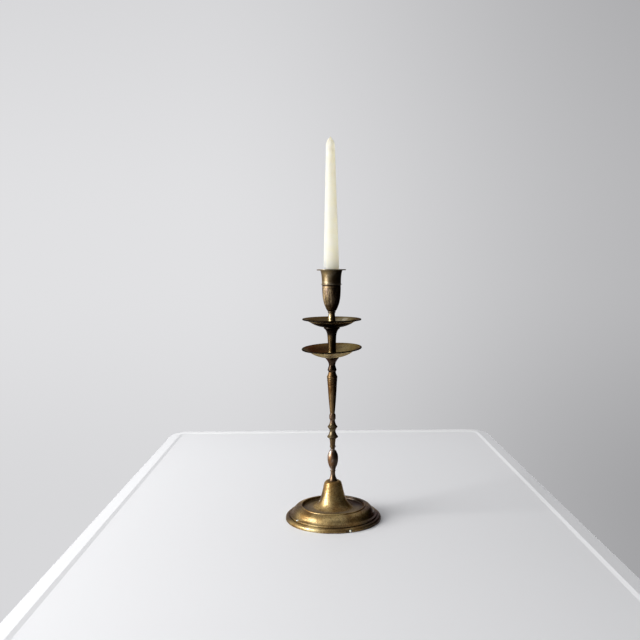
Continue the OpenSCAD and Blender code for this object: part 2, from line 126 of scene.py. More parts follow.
# Brass, turned on a lathe and left to age: worn metal shines yellow where hands and cloths reach,
# brown patina lies over it in cloudy patches, and black grime with painted shade darkens the grooves and joints
def agedTurnedBrass(name, look):
    material, tree = newMaterial(name)
    place = addNode(tree, "ShaderNodeTexCoord").outputs
    coords = place["Object"]
    clouds, mottle, grain = [
        addNode(tree, "ShaderNodeTexNoise", {
            "Scale": 1 / (sizeMm * mm), "Detail": detail, "Roughness": roughness, "Distortion": distortion,
        }, {"Vector": coords}).outputs["Fac"]
        for sizeMm, detail, roughness, distortion in (
            (look["cloudMm"], 4, 0.6, 0.4), (look["mottleMm"], 5, 0.65, 0), (look["grainMm"], 3, 0.6, 0),
        )
    ]
    recess = addNode(tree, "ShaderNodeAmbientOcclusion", {"samples": 6, "Distance": look["grimeAndShadeMm"] * mm})

    # where a point is on the piece: radius, height and side in mm, and which way the surface faces
    across, upwards = [
        addNode(tree, "ShaderNodeVectorMath", {"operation": "MULTIPLY", 1: scale}, {0: coords}).outputs[0]
        for scale in ((1 / mm, 1 / mm, 0), (0, 0, 1 / mm))
    ]
    radius = addNode(tree, "ShaderNodeVectorMath", {"operation": "LENGTH"}, {0: across}).outputs["Value"]
    height, side, facing = [
        addNode(tree, "ShaderNodeSeparateXYZ", {}, {0: vector}).outputs[axis]
        for vector, axis in ((upwards, "Z"), (across, "X"), (place["Normal"], "Z"))
    ]

    # each pattern turned to the share of its layer that shows
    patina, rough, below, flecks, pits, grimeAndShade = [
        addNode(tree, "ShaderNodeMapRange", {
            **smooth, **dict(zip(fadeInputs, limits)),
        }, {"Value": value}).outputs["Result"]
        for value, limits in (
            (clouds, look["patina"]),
            # worn metal and dull patina lie side by side in every few millimetres
            (grain, (*look["dullEdge"], *look["roughness"])),
            # what faces down, which carries painted shade and painted reflections under the pans
            (facing, (*look["belowEdge"], 1, 0)),
            (mottle, (*look["flecks"], 0, look["fleckShare"])),
            (grain, (*look["pitEdge"], 0, look["pits"])),
            # grime in the grooves, and painted shade in recesses and at joints, from ambient occlusion
            (recess.outputs["AO"], (*look["grimeAndShadeEdge"], look["grimeAndShadeShare"], 0)),
        )
    ]
    layers = []
    if look["chased"]:
        # the chased lines are painted lighter than the metal between them
        cut = addNode(tree, "ShaderNodeAttribute", {"attribute_name": "chased"}).outputs["Fac"]
        shown = addNode(tree, "ShaderNodeMapRange", {
            **smooth, **dict(zip(fadeInputs, look["chasedEdge"])),
        }, {"Value": cut})
        layers.append((shown.outputs["Result"], look["chased"]))
    for ring in look["rings"]:
        share = inRing(tree, radius, height, ring)
        # on undersides only: painted shade and painted reflections under the pans
        if ring["below"]:
            share = addNode(tree, "ShaderNodeMath", {"operation": "MULTIPLY"}, {0: share, 1: below}).outputs[0]
        layers.append((share, ring["colour"]))
        rough = addNode(tree, "ShaderNodeMix", {3: ring["roughness"]}, {0: share, 2: rough}).outputs[0]
    # painted shade: the right side fades towards the grime-and-shade colour
    if look["shade"]:
        first, last, share = look["shade"]
        shown = addNode(tree, "ShaderNodeMapRange", {
            **smooth, "From Min": first, "From Max": last, "To Max": share,
        }, {"Value": side})
        layers.append((shown.outputs["Result"], look["grimeAndShade"]))
    for spot in look["spots"]:
        away = addNode(tree, "ShaderNodeVectorMath", {
            "operation": "DISTANCE", 1: [c * mm for c in spot["place"]],
        }, {0: coords}).outputs["Value"]
        shown = addNode(tree, "ShaderNodeMapRange", {
            **smooth, "From Min": spot["size"] * mm * look["spotMiddle"], "From Max": spot["size"] * mm,
            "To Min": spot["share"], "To Max": 0,
        }, {"Value": away})
        layers.append((shown.outputs["Result"], spot["colour"]))
    layers += [(flecks, look["dark"]), (pits, look["grimeAndShade"]), (grimeAndShade, look["grimeAndShade"])]
    colour = addNode(tree, "ShaderNodeMix", {
        "data_type": "RGBA", 6: linear(look["worn"]), 7: linear(look["brown"]),
    }, {0: patina}).outputs[2]
    for share, over in layers:
        colour = addNode(tree, "ShaderNodeMix", {
            "data_type": "RGBA", 7: linear(over),
        }, {0: share, 6: colour}).outputs[2]

    # turned lines lie round the axis; they are drawn coarser than the lathe left them, so that they show
    lines = addNode(tree, "ShaderNodeTexWave", {
        "wave_type": "BANDS", "bands_direction": "Z", "wave_profile": "SIN",
        "Scale": 1 / (look["lineMm"] * mm) / bandsPerUnit, "Distortion": 1.5, "Detail": 2, "Detail Scale": 1.5,
    }, {"Vector": coords}).outputs["Fac"]
    normal = None
    for pattern, (strength, depth) in (
        (lines, look["lineBump"]), (mottle, look["dentBump"]), (grain, look["grainBump"]),
    ):
        links = {"Height": pattern} if normal is None else {"Height": pattern, "Normal": normal}
        bump = addNode(tree, "ShaderNodeBump", {"Strength": strength, "Distance": depth * mm}, links)
        normal = bump.outputs[0]
    shader = addNode(tree, "ShaderNodeBsdfPrincipled", {
        "Metallic": 1.0, "Specular Tint": linear(look["slantTone"]),
        "Coat Weight": look["coat"], "Coat Roughness": look["coatRoughness"],
    }, {"Base Color": colour, "Roughness": rough, "Normal": normal})
    addNode(tree, "ShaderNodeOutputMaterial", {}, {"Surface": shader.outputs[0]})
    return material


# A ring of another colour round the axis: its heights above the table, the softness of its edges and its radii
# in mm, and whether it is only on what faces down
def bandRound(height, colour, soft, roughness, radius=(0, 20), below=False):
    return {"height": height, "colour": colour, "soft": soft, "roughness": roughness,
            "radius": radius, "below": below}


# A round patch of another colour, by its middle and reach in mm
def patchAt(place, size, colour, share):
    return {"place": place, "size": size, "colour": colour, "share": share}


# Patina, flecks and what is named edge are two values of a pattern, between which its layer comes in
brassLook = {
    # the darkest colour is real grime in pits and grooves, and also painted shade in recesses and on the right
    # side
    "worn": "#a38958", "brown": "#796038", "dark": "#482d10", "grimeAndShade": "#1a0e02",
    "slantTone": "#c3a268",                  # of metal that is seen at a slant
    "cloudMm": 22, "mottleMm": 2.6, "grainMm": 0.9, "grimeAndShadeMm": 3, "lineMm": 0.8,     # sizes of the patterns
    "patina": (0.36, 0.62), "flecks": (0.48, 0.66), "fleckShare": 0.45,
    "pitEdge": (0.52, 0.66), "pits": 0.35, "grimeAndShadeEdge": (0.35, 0.85), "grimeAndShadeShare": 0.9,
    "dullEdge": (0.4, 0.6), "roughness": (0.26, 0.5), "belowEdge": (-0.5, -0.1),
    "lineBump": (0.04, 0.05), "dentBump": (0.06, 0.4), "grainBump": (0.12, 0.15),    # strength, depth in mm
    "coat": 0.35, "coatRoughness": 0.25,     # the skin that wax and handling leave
    "shade": None,                           # painted shade: a darker right side, from one place in mm to another
    "rings": [], "spots": [], "spotMiddle": 0.4, "chased": None, "chasedEdge": (0.1, 0.6, 0, 0.8),
}
# lines cut on the lathe under the column's shoulder; grime stays in the upper ones
columnLook = {
    "lines": (192.6, 190.0, 187.4, 184.8, 182.2), "grimyLines": 4,     # mm above the table
    "lineWidth": 1.0, "lineDepth": 0.18, "grimeWidth": 0.7,            # mm
    "linesOutside": 2,                                                 # mm from the axis, so not in the bore
    "step": 0.25, "stepsBetween": (180, 194.4),                        # mm
    "segments": 96, "smoothAngle": 40,
}
panHeights = (200, 300)     # mm, past both pans
# painted shade on the pans' rims, above and below
paintedShadeRims = [
    bandRound(panHeights, "#120c06", 0.3, 0.5, (38.4, 45)),
    bandRound(panHeights, "#120c06", 0.6, 0.5, (34.4, 45), below=True),
]
panLook = {"coat": 0.05, "slantTone": "#a5977c", "roughness": (0.36, 0.52)}
brassOf = {
    "foot": {
        "worn": "#b59c69", "brown": "#8a6b3a", "roughness": (0.3, 0.74), "coat": 0.38, "fleckShare": 0.42,
        "grainMm": 1.4,
        "rings": [
            # cloths pass over the tray, so its patina is dull and grey
            bandRound((10, 16.8), "#8d7a5b", 1.2, 0.6, (27, 41)),
            bandRound((14.5, 17.5), "#5a4a34", 0.6, 0.5, (36, 41)),
        ],
        "spots": [
            patchAt((20.5, -61.7, 1.8), 4.2, "#241809", 0.85),      # two pits at the wax speck on the flange
            patchAt((16.4, -62.8, 1.8), 2.2, "#1a1107", 0.9),
            patchAt((30, 25, 16), 34, "#1f150c", 0.95),             # painted shade at the back and the right
            patchAt((62, -16, 3), 42, "#1f140c", 0.88),
            patchAt((45, -45, 2), 18, "#1f140c", 0.7),
            patchAt((-28, -57, 2), 14, "#e3d09c", 0.8),             # painted highlight on the flange at the front left
            # painted shade at the left and on the bell's left, which dulls the table's reflection
            patchAt((-58, -4, 6), 36, "#554933", 0.85),
            patchAt((-15, 4, 30), 18, "#4b3e28", 0.9),
            # lighter at the front of the moulding, darker at the front of the flange
            patchAt((4, -47, 11), 17, "#dcc58c", 0.6),
            patchAt((5, -64, 2), 20, "#5d4827", 0.5),
        ],
    },
    "stem_collar": {
        "worn": "#7d6850", "brown": "#54402d", "dark": "#301e0f", "coat": 0.2, "shade": (0, 6, 0.8),
    },
    "vase_knop": {
        "worn": "#c0b4aa", "brown": "#6f4e2e", "dark": "#3a200b", "coat": 0.4, "roughness": (0.32, 0.52),
        "shade": (-2.5, 3, 0.88),
    },
    "short_column": {"worn": "#6f5f42", "brown": "#4d3b25", "coat": 0.1, "shade": (0, 4, 0.7)},
    "ring_knop": {
        "worn": "#7d7054", "brown": "#54462f", "coat": 0.2, "roughness": (0.34, 0.6), "shade": (0, 5, 0.8),
        "rings": [bandRound((131, 145), "#5d4a38", 0.6, 0.5)],
    },
    "tapered_column": {
        "worn": "#846d4a", "brown": "#5a3e1e", "dark": "#341d08", "coat": 0.12, "roughness": (0.36, 0.5),
        "shade": (-2, 3.5, 0.9),
        "rings": [
            bandRound((line - columnLook["grimeWidth"] / 2, line + columnLook["grimeWidth"] / 2),
                      "#33220f", 0.3, 0.5, (0, 9))
            for line in columnLook["lines"][:columnLook["grimyLines"]]
        ],
    },
    "stem_head": {
        "worn": "#402f1c", "brown": "#261a0d", "dark": "#170f05", "coat": 0.2, "shade": (-1, 4, 0.85),
    },
    "lower_drip_pan": {
        **panLook, "worn": "#857050", "brown": "#65503a", "dark": "#33200f",
        # a painted reflection of the pale table on the underside, and painted shade on the rims
        "rings": [bandRound(panHeights, "#bfad89", 1, 0.45, (0, 40), below=True), *paintedShadeRims],
        "spots": [
            patchAt((-20, 8, 231), 32, "#6a4a36", 0.9),             # reddish at the left
            # painted reflection of the window at the right of the bowl
            patchAt((22, 14, 233), 26, "#b3a278", 0.8),
            patchAt((-39, -1.5, 232.9), 8, "#59624c", 0.8),         # green at the rim
        ],
    },
    "pan_spool": {
        # the spool's own dark tone, with painted shade between the pans
        "worn": "#6d5736", "brown": "#3d2e18", "dark": "#221708", "coat": 0.15, "shade": (-3, 1.6, 0.92),
        "rings": [
            # painted shade under the upper pan
            bandRound((251, 263), "#1c140a", 2, 0.5),
            # painted highlight at the spool's foot
            bandRound((222, 229), "#b8a070", 1.5, 0.35),
        ],
    },
    "upper_drip_pan": {
        **panLook, "worn": "#76654a", "brown": "#5c4b36", "dark": "#2c1c0f",
        "rings": [
            # painted shade on the underside near the stem
            bandRound(panHeights, "#1d140b", 3, 0.45, (0, 29), below=True),
            # painted reflection of the lower pan on the underside under the rim
            bandRound(panHeights, "#9d8a68", 1, 0.45, (31, 40), below=True),
            *paintedShadeRims,
        ],
        "spots": [
            patchAt((-26, 12, 271), 26, "#7f6c55", 0.75),
            # painted reflection at the right of the bowl, with a painted highlight at its back
            patchAt((16, 20, 271), 22, "#b3a688", 0.75),
            patchAt((18.7, 24.2, 271.4), 6, "#dfd5bc", 0.8),
        ],
    },
    "cup_neck": {
        "worn": "#bca678", "brown": "#8a744d", "coat": 0.5, "shade": (-1, 4, 0.8),
        # painted shade at the neck's top, under the cup
        "rings": [bandRound((279, 290), "#54452a", 2, 0.55)],
    },
    "candle_cup": {
        "worn": "#857262", "brown": "#3f2b18", "dark": "#2a1a09", "coat": 0.24, "roughness": (0.34, 0.56),
        "rings": [
            # painted shade on the lower cup, which faces down
            bandRound((280, 293.5), "#56432a", 4, 0.5),
            # painted shade under the nozzle's lip, and a painted highlight on the mouth's rounded edge below it
            bandRound((317.8, 320), "#4b3a26", 0.3, 0.5),
            bandRound((315.9, 316.9), "#a89069", 0.3, 0.45),
        ],
        "shade": (-6, 5.5, 0.92), "chased": "#94805a",
    },
    "nozzle": {
        "worn": "#a79a82", "brown": "#6b5a3a", "roughness": (0.36, 0.52), "fleckShare": 0.25, "coat": 0.42,
        "shade": (-4.5, 4, 0.66),
        # painted shade under the nozzle's lip
        "rings": [bandRound((318, 319.3), "#3b2b17", 0.2, 0.5)],
    },
}
brasses = {
    node: agedTurnedBrass("agedBrass" + node.title().replace("_", ""), {**brassLook, **look})
    for node, look in brassOf.items()
}


# Plain carbon steel of a tie rod and its nut: grey and rather dull, and browner where rust sits in the pores
steelLook = {
    "metal": "#6f6c68", "rust": "#5b3a22", "rustMm": 2.5, "rustEdge": (0.45, 0.65),
    "metallic": 0.85, "dullEdge": (0.4, 0.7), "roughness": (0.4, 0.75),
}


def dullSteel(look):
    material, tree = newMaterial("dullCarbonSteel")
    coords = addNode(tree, "ShaderNodeTexCoord").outputs["Object"]
    rust = addNode(tree, "ShaderNodeTexNoise", {
        "Scale": 1 / (look["rustMm"] * mm), "Detail": 5, "Roughness": 0.7,
    }, {"Vector": coords}).outputs["Fac"]
    rusty, rough = [
        addNode(tree, "ShaderNodeMapRange", {
            **smooth, **dict(zip(fadeInputs, limits)),
        }, {"Value": rust}).outputs["Result"]
        for limits in (look["rustEdge"], (*look["dullEdge"], *look["roughness"]))
    ]
    colour = addNode(tree, "ShaderNodeMix", {
        "data_type": "RGBA", 6: linear(look["metal"]), 7: linear(look["rust"]),
    }, {0: rusty}).outputs[2]
    shader = addNode(tree, "ShaderNodeBsdfPrincipled", {"Metallic": look["metallic"]}, {
        "Base Color": colour, "Roughness": rough,
    })
    addNode(tree, "ShaderNodeOutputMaterial", {}, {"Surface": shader.outputs[0]})
    return material


# Paraffin wax, dipped: light goes a few millimetres in and comes out at the far side, so its edges glow and it
# never looks hard
waxLook = {
    "bloomMm": 9, "bloomEdge": (0.35, 0.7),            # a pale bloom on the surface
    "dipMm": 6, "dipStrength": 0.15, "dipDepth": 0.2,  # mm, the unevenness that dipping leaves
    "ior": 1.44, "roughness": 0.42, "spread": (1.0, 0.9, 0.7),
}
candleWaxLook = {
    **waxLook, "throughShare": 0.66, "depthMm": 14,   # how much light comes through, and how far the rest spreads
    "wax": ("#ffffff", "#fffffb"), "glow": ("#fffffa", "#fff8dc"),
}
dripWaxLook = {
    **waxLook, "throughShare": 0.0, "depthMm": 0.3,
    "wax": ("#fffaec", "#fff3d8"), "glow": ("#fffaec", "#fff3d8"),
}


def dippedWax(name, look):
    material, tree = newMaterial(name)
    coords = addNode(tree, "ShaderNodeTexCoord").outputs["Object"]
    bloom, dips = [
        addNode(tree, "ShaderNodeTexNoise", {
            "Scale": 1 / (sizeMm * mm), "Detail": detail,
        }, {"Vector": coords}).outputs["Fac"]
        for sizeMm, detail in ((look["bloomMm"], 3), (look["dipMm"], 2))
    ]
    pale = addNode(tree, "ShaderNodeMapRange", {
        **smooth, **dict(zip(fadeInputs, look["bloomEdge"])),
    }, {"Value": bloom}).outputs["Result"]
    colour, warm = [
        addNode(tree, "ShaderNodeMix", {
            "data_type": "RGBA", 6: linear(first), 7: linear(second),
        }, {0: share}).outputs[2]
        for share, (first, second) in ((pale, look["wax"]), (bloom, look["glow"]))
    ]
    bump = addNode(tree, "ShaderNodeBump", {
        "Strength": look["dipStrength"], "Distance": look["dipDepth"] * mm,
    }, {"Height": dips})
    shader = addNode(tree, "ShaderNodeBsdfPrincipled", {
        "IOR": look["ior"], "Roughness": look["roughness"], "Subsurface Weight": 1.0,
        "Subsurface Radius": look["spread"], "Subsurface Scale": look["depthMm"] * mm,
    }, {"Base Color": colour, "Normal": bump.outputs[0]})
    through = addNode(tree, "ShaderNodeBsdfTranslucent", {}, {"Color": warm})
    both = addNode(tree, "ShaderNodeMixShader", {0: look["throughShare"]}, {
        1: shader.outputs[0], 2: through.outputs[0],
    })
    addNode(tree, "ShaderNodeOutputMaterial", {}, {"Surface": both.outputs[0]})
    return material


# Braided cotton soaked in wax: slanting strands, off white
wickLook = {
    "strandMm": 0.5, "strandStrength": 0.5, "strandDepth": 0.1, "roughness": 0.7,
    "between": "#e6dfc6", "strand": "#f7f3e4",
}


def waxedCotton(look):
    material, tree = newMaterial("waxedCottonBraid")
    coords = addNode(tree, "ShaderNodeTexCoord").outputs["Object"]
    strands = addNode(tree, "ShaderNodeTexWave", {
        "bands_direction": "DIAGONAL", "Scale": 1 / (look["strandMm"] * mm) / bandsPerUnit, "Distortion": 0.6,
    }, {"Vector": coords}).outputs["Fac"]
    colour = addNode(tree, "ShaderNodeMix", {
        "data_type": "RGBA", 6: linear(look["between"]), 7: linear(look["strand"]),
    }, {0: strands}).outputs[2]
    bump = addNode(tree, "ShaderNodeBump", {
        "Strength": look["strandStrength"], "Distance": look["strandDepth"] * mm,
    }, {"Height": strands})
    shader = addNode(tree, "ShaderNodeBsdfPrincipled", {"Roughness": look["roughness"]}, {
        "Base Color": colour, "Normal": bump.outputs[0],
    })
    addNode(tree, "ShaderNodeOutputMaterial", {}, {"Surface": shader.outputs[0]})
    return material


clampNodes = ("clamp_nut", "clamp_washer", "tie_rod")
finishOf = {
    **brasses,
    "candle_wax": dippedWax("dippedIvoryWax", candleWaxLook),
    "candle_wick": waxedCotton(wickLook),
    **dict.fromkeys(clampNodes, dullSteel(steelLook)),
}
print("materials made:", len(bpy.data.materials))


# Pieces
meshLook = {
    "copyMerge": 0.002, "turnedMerge": 0.004,     # mm, within which points become one
    "smoothAngle": 32,                            # degrees
}


def makeActive(piece):
    bpy.ops.object.select_all(action="DESELECT")
    piece.select_set(True)
    bpy.context.view_layer.objects.active = piece


def smoothCopy(node):
    source = frame["nodes"][node]
    piece = bpy.data.objects.new(node + "Smooth", source.data.copy())
    bpy.context.scene.collection.objects.link(piece)
    makeActive(piece)
    if piece.data.has_custom_normals:
        bpy.ops.mesh.customdata_custom_splitnormals_clear()
    bpy.ops.object.mode_set(mode="EDIT")
    bpy.ops.mesh.select_all(action="SELECT")
    bpy.ops.mesh.remove_doubles(threshold=meshLook["copyMerge"] * mm)
    bpy.ops.object.mode_set(mode="OBJECT")
    bpy.ops.object.shade_smooth_by_angle(angle=math.radians(meshLook["smoothAngle"]))
    return piece


def finishPiece(piece, node):
    piece.data.materials.clear()
    piece.data.materials.append(finishOf[node])
    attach(piece, bodyOf[node])
    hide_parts(node)


for node in ("foot", "stem_collar", "vase_knop", "short_column", "ring_knop", "stem_head", "lower_drip_pan",
             "pan_spool", "upper_drip_pan", "cup_neck", "nozzle", "candle_wax", "candle_wick"):
    finishPiece(smoothCopy(node), node)
for node in clampNodes:
    frame["nodes"][node].data.materials.clear()
    frame["nodes"][node].data.materials.append(finishOf[node])
print("smooth pieces made")


# The outline of a turned piece in mm, from its foot outwards, along the edges of its CAD mesh that lie over
# the +X axis and off the piece's own axis
def outlineOf(node):
    mesh = frame["nodes"][node].data
    near = {}
    for edge in mesh.edges:
        ends = [mesh.vertices[v].co for v in edge.vertices]
        if all(abs(e.y) < 0.001 * mm and e.x > 0.1 * mm for e in ends):
            first, second = [(round(e.x / mm, 3), round(e.z / mm, 3)) for e in ends]
            near.setdefault(first, set()).add(second)
            near.setdefault(second, set()).add(first)
    path = [min(near, key=lambda p: (p[1], p[0]))]
    while True:
        onwards = [p for p in near[path[-1]] if p not in path]
        if not onwards:
            return path
        path.append(max(onwards))


# The same outline with a station at least every step, between two heights
def withSteps(path, step, low, high):
    stations = [path[0]]
    for (r0, z0), (r1, z1) in zip(path, path[1:]):
        parts = math.ceil(abs(z1 - z0) / step) if low < (z0 + z1) / 2 < high else 1
        stations += [(r0 + (r1 - r0) * k / parts, z0 + (z1 - z0) * k / parts) for k in range(1, parts + 1)]
    return stations


# Turns an outline: a circle at its first station, drawn out and resized to each of the next; a closed outline
# comes back to its first station, and an open one starts from a flat end
def turnPiece(name, stations, segments, closed):
    bpy.ops.object.select_all(action="DESELECT")
    radius, height = stations[0]
    bpy.ops.mesh.primitive_circle_add(vertices=segments, radius=radius * mm, location=(0, 0, height * mm))
    piece = bpy.context.object
    piece.name = name
    bpy.ops.object.transform_apply(location=True)
    bpy.ops.object.mode_set(mode="EDIT")
    bpy.ops.mesh.select_all(action="SELECT")
    if not closed:
        bpy.ops.mesh.edge_face_add()
        bpy.ops.mesh.select_all(action="SELECT")
    for nextRadius, nextHeight in stations[1:] + stations[:1] * closed:
        rise = (nextHeight - height) * mm
        bpy.ops.mesh.extrude_region_move(TRANSFORM_OT_translate={"value": (0, 0, rise)})
        grow = nextRadius / radius
        bpy.ops.transform.resize(value=(grow, grow, 1), center_override=(0, 0, nextHeight * mm))
        radius, height = nextRadius, nextHeight
    bpy.ops.mesh.select_all(action="SELECT")
    bpy.ops.mesh.remove_doubles(threshold=meshLook["turnedMerge"] * mm)
    bpy.ops.mesh.normals_make_consistent(inside=False)
    bpy.ops.object.mode_set(mode="OBJECT")
    return piece


# How deep the column is cut at a point of its outline
def lineCut(radius, height):
    deepest = max(1 - (2 * (height - line) / columnLook["lineWidth"]) ** 2 for line in columnLook["lines"])
    return columnLook["lineDepth"] * max(deepest, 0) * (radius > columnLook["linesOutside"])


stations = withSteps(outlineOf("tapered_column"), columnLook["step"], *columnLook["stepsBetween"])
cutStations = [(r - lineCut(r, z), z) for r, z in stations]
column = turnPiece("taperedColumnTurned", cutStations, columnLook["segments"], True)
makeActive(column)
bpy.ops.object.shade_smooth_by_angle(angle=math.radians(columnLook["smoothAngle"]))
finishPiece(column, "tapered_column")


# Chased leaves round the cup: upright leaves with a midrib and slanting veins, and punched dots between them
leafLook = {
    "leaves": 8, "turn": -99,                  # degrees from +X of a leaf's middle
    "foot": 5, "tip": 32,                      # mm above the cup's foot
    "widthShare": 0.43,                        # half a leaf, as a share of the round from leaf to leaf
    "fullest": 0.75, "fullness": 0.8,          # powers: less moves a leaf's fullest place down, or fills it out
    "veinEvery": 4.2, "veinSlope": 1.25,       # mm, and rise over width
    "lineWidth": 1.3, "depth": 0.36,           # mm
    "dotEvery": 2.6, "dotWidth": 1.3,          # mm
    "dotsFrom": 2,                             # mm above the cup's foot
    "fadeFrom": 1, "fadeOver": 2,              # mm above the cup's foot, where the lines run out
}


def chaseDepth(angle, radius, height):
    pitch = 2 * math.pi / leafLook["leaves"]
    fromLeaf = (angle - math.radians(leafLook["turn"]) + pitch / 2) % pitch - pitch / 2
    side = abs(fromLeaf) * radius
    along = (height - leafLook["foot"]) / (leafLook["tip"] - leafLook["foot"])
    halfLine = leafLook["lineWidth"] / 2
    cuts = []
    edge = 0
    if 0 < along < 1:
        swell = math.sin(math.pi * along ** leafLook["fullest"]) ** leafLook["fullness"]
        edge = leafLook["widthShare"] * pitch * radius * swell
        cuts.append(abs(side - edge))
        if side < edge:
            cuts.append(side)
            rise = (height - leafLook["veinSlope"] * side) / leafLook["veinEvery"]
            acrossVein = leafLook["veinEvery"] / math.hypot(1, leafLook["veinSlope"])
            cuts.append(abs(rise - round(rise)) * acrossVein)
    if side > edge + halfLine and leafLook["dotsFrom"] < height < leafLook["tip"]:
        row = round(height / leafLook["dotEvery"])
        gap = pitch * radius / 2 - side
        fromMiddle = abs(gap - leafLook["dotEvery"] / 2 * (row % 2)) % leafLook["dotEvery"]
        fromMiddle = min(fromMiddle, leafLook["dotEvery"] - fromMiddle)
        fromDot = math.hypot(fromMiddle, height - row * leafLook["dotEvery"])
        cuts.append(fromDot / leafLook["dotWidth"] * leafLook["lineWidth"])
    cut = max([1 - (c / halfLine) ** 2 for c in cuts] + [0])
    return cut * min(max(height - leafLook["fadeFrom"], 0) / leafLook["fadeOver"], 1)


# An outline's highest corner, worn round in steps of 15 degrees
def roundMouth(path, radius):
    top = max(range(len(path)), key=lambda k: (path[k][1], path[k][0]))
    r, z = path[top]
    arc = [(r - radius + radius * math.cos(a), z - radius + radius * math.sin(a))
           for a in (math.radians(15 * k) for k in range(7))]
    return path[:top] + arc + path[top + 1:]


cupLook = {
    "mouthRound": 0.8,                             # mm
    "boreWithin": 20,                              # mm above the foot, below which the tie rod's bore ends
    "step": 0.3, "stepsFrom": 1,                   # mm, the second above the foot
    "stepsPastSocket": 5.5,                        # mm above the socket's floor
    "chasedOutside": 5.3, "chasedBelow": 33.6,     # mm from the axis and above the foot
    "segments": 288, "smoothAngle": 60,
}
outline = roundMouth(outlineOf("candle_cup"), cupLook["mouthRound"])
boreRadius, cupFoot = outline[0]
socketFloor = outline[-1][1]
cupPoints = [(v.co.x / mm, v.co.z / mm) for v in frame["nodes"]["candle_cup"].data.vertices]
boreTop = max(z for r, z in cupPoints if abs(r - boreRadius) < 0.01 and z < cupFoot + cupLook["boreWithin"])
stations = withSteps([(boreRadius, boreTop)] + outline, cupLook["step"],
                     cupFoot + cupLook["stepsFrom"], socketFloor + cupLook["stepsPastSocket"])
cup = turnPiece("candleCupChased", stations, cupLook["segments"], False)
makeActive(cup)
bpy.ops.object.mode_set(mode="EDIT")
bpy.ops.mesh.select_all(action="DESELECT")
bpy.ops.mesh.select_non_manifold()
bpy.ops.mesh.edge_face_add()
bpy.ops.mesh.select_all(action="SELECT")
bpy.ops.mesh.normals_make_consistent(inside=False)
bpy.ops.object.mode_set(mode="OBJECT")
chasing = cup.vertex_groups.new(name="chasing")
depths = [0.0] * len(cup.data.vertices)
for vertex in cup.data.vertices:
    x, y, z = vertex.co / mm
    radius, height = math.hypot(x, y), z - cupFoot
    outwards = vertex.normal.x * x + vertex.normal.y * y > 0
    if outwards and radius > cupLook["chasedOutside"] and height < cupLook["chasedBelow"]:
        depth = chaseDepth(math.atan2(y, x), radius, height)
        if depth > 0:
            chasing.add([vertex.index], depth, "REPLACE")
            depths[vertex.index] = depth
press = cup.modifiers.new("chasing", "DISPLACE")
press.vertex_group = "chasing"
press.mid_level = 0
press.strength = -leafLook["depth"] * mm
bpy.ops.object.modifier_apply(modifier=press.name)
cup.data.attributes.new(name="chased", type="FLOAT", domain="POINT").data.foreach_set("value", depths)
bpy.ops.object.shade_smooth_by_angle(angle=math.radians(cupLook["smoothAngle"]))
finishPiece(cup, "candle_cup")
print("cup chased:", len(cup.data.polygons), "faces")


# Specks of wax that dripped on the foot: places and sizes in mm, turned by degrees
waxSpecks = [
    {"place": (-47.6, -34.8, 7.8), "size": (2.6, 1.4, 0.8), "turn": 35},
    {"place": (20.9, -61.6, 2.2), "size": (1.5, 1.7, 0.7), "turn": 0},
    {"place": (-18.3, -4.0, 24.5), "size": (0.8, 0.8, 0.5), "turn": 0},
]
speckLook = {"uneven": 0.3, "smoothing": 0.5, "smoothRounds": 3, "firstSeed": 3}     # uneven is in mm
dripWax = dippedWax("drippedIvoryWax", dripWaxLook)
foot = bpy.data.objects["footSmooth"]
for count, speck in enumerate(waxSpecks):
    seat, normal = foot.closest_point_on_mesh(Vector(speck["place"]) * mm)[1:3]
    bpy.ops.object.select_all(action="DESELECT")
    bpy.ops.mesh.primitive_ico_sphere_add(subdivisions=3, radius=1 * mm)
    drop = bpy.context.object
    drop.name = "waxSpeck" + str(count + 1)
    bpy.ops.object.mode_set(mode="EDIT")
    bpy.ops.mesh.select_all(action="SELECT")
    bpy.ops.transform.resize(value=speck["size"])
    bpy.ops.transform.vertex_random(offset=speckLook["uneven"] * mm, seed=count + speckLook["firstSeed"])
    bpy.ops.mesh.vertices_smooth(factor=speckLook["smoothing"], repeat=speckLook["smoothRounds"])
    bpy.ops.object.mode_set(mode="OBJECT")
    drop.matrix_world = (
        Matrix.Translation(seat) @ normal.to_track_quat("Z", "Y").to_matrix().to_4x4()
        @ Matrix.Rotation(math.radians(speck["turn"]), 4, "Z")
    )
    bpy.ops.object.transform_apply(location=True, rotation=True, scale=True)
    bpy.ops.object.shade_smooth()
    drop.data.materials.append(dripWax)
    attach(drop, "stand")
print("pieces made")


# Stage: a plain pale table top, cards that glow or stay dark beside it, one large window light and a pale room
tableLook = {
    "middle": 1, "width": 658, "back": 568, "front": -1400, "thickness": 20,    # mm
    "corner": 40, "cornerSegments": 12,
    # mm: the rim slopes up from the outer edge and down again to the flat top
    "rimOutside": 18, "rimRise": 1.0, "rimInside": 6, "rimStep": 0.8,
    "frontTone": "#eeeeef", "paintedLightBackTone": "#f6f6f7", "paintedLightFade": (-200, 500),     # mm from the stem
    "edgeTone": "#ffffff", "edgeFade": (28, 22),                                # mm from the back edge
    "roughness": 0.6,
}

